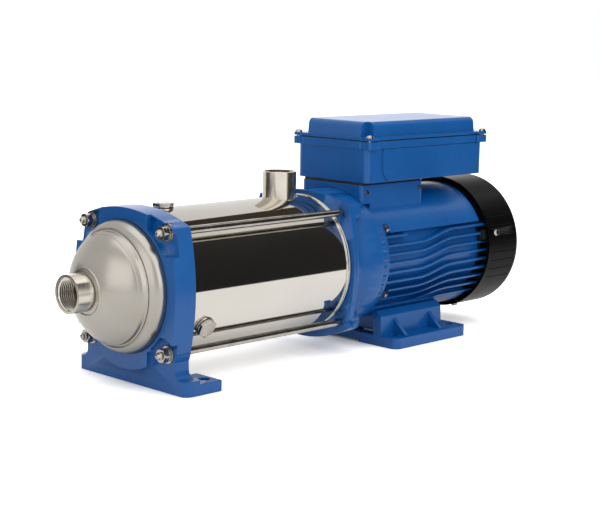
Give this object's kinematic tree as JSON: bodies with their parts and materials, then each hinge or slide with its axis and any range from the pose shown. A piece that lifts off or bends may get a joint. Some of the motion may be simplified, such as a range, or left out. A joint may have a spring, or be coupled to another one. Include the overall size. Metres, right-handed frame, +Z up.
{
  "type": "horizontal multistage pump",
  "caption": "Close-coupled horizontal multistage booster pump: steel sleeve casing between tie rods, cast front foot, finned motor with terminal box and fan cover.",
  "frame": {"origin": "on the mounting surface, midway between the two holes of the front foot", "axes": "+X along the shaft from the suction socket towards the fan, +Z up"},
  "size_m": [0.6218, 0.1746, 0.256],
  "materials": {
    "blue_cast": "semi-gloss",
    "polished_steel": "mirror",
    "steel": "satin",
    "zinc_steel": "bright",
    "black_plastic": "glossy",
    "grey_plastic": "matt",
    "black_cast": "matt",
    "rubber": "matt",
    "ceramic": "lapped",
    "carbon": "lapped",
    "laminations": "matt",
    "cast_aluminium": "as cast",
    "copper": "varnished",
    "cream_plastic": "matt",
    "white_plastic": "satin"
  },
  "bodies": {
    "pump": {"front_bracket": "blue_cast", "pump_casing": "polished_steel", "suction_port": "steel", "discharge_port": "steel", "plug_bosses": "steel", "fill_plug": "zinc_steel", "fill_plug_seal": "rubber", "drain_plug": "zinc_steel", "drain_plug_seal": "rubber", "tie_rods": "zinc_steel", "tie_rod_nuts": "zinc_steel", "tie_rod_washers": "zinc_steel", "stage_bowls": "steel", "seal_housing": "steel", "casing_o_ring": "rubber", "seal_seat": "ceramic", "motor_adapter": "blue_cast", "front_bearing_outer_ring": "steel", "rear_bearing_outer_ring": "steel", "bearing_spring": "steel", "front_end_shield": "blue_cast", "motor_frame": "blue_cast", "stator_core": "laminations", "stator_windings": "copper", "rear_end_shield": "black_cast", "frame_screws": "zinc_steel", "motor_foot": "blue_cast", "foot_screws": "zinc_steel", "fan_cover": "black_plastic", "fan_cover_screws": "zinc_steel", "terminal_box_base": "blue_cast", "terminal_box_seal": "rubber", "terminal_box_lid": "blue_cast", "lid_seal": "rubber", "lid_screws": "zinc_steel", "terminal_block": "cream_plastic", "run_capacitor": "white_plastic", "earth_screws": "zinc_steel"},
    "rotor": {"shaft": "steel", "impellers": "steel", "impeller_spacers": "steel", "impeller_nut": "zinc_steel", "seal_face_ring": "carbon", "seal_spring": "steel", "front_bearing_inner_ring": "steel", "rear_bearing_inner_ring": "steel", "rotor_core": "laminations", "rotor_end_rings": "cast_aluminium", "cooling_fan": "grey_plastic", "fan_retaining_ring": "steel"},
    "front_balls": {"front_bearing_balls": "steel"},
    "rear_balls": {"rear_bearing_balls": "steel"}
  },
  "joints": [
    {"name": "rotor_spin", "type": "hinge", "parent": "pump", "child": "rotor", "pos_m": [0.2, 0, 0.1], "axis": [1, 0, 0], "continuous": true},
    {"name": "front_cage_spin", "type": "hinge", "parent": "pump", "child": "front_balls", "pos_m": [0.261, 0, 0.1], "axis": [1, 0, 0], "continuous": true},
    {"name": "rear_cage_spin", "type": "hinge", "parent": "pump", "child": "rear_balls", "pos_m": [0.452, 0, 0.1], "axis": [1, 0, 0], "continuous": true}
  ],
  "couplings": [
    {"joint": "front_cage_spin", "follows": "rotor_spin", "ratio": 0.383},
    {"joint": "rear_cage_spin", "follows": "rotor_spin", "ratio": 0.383}
  ]
}
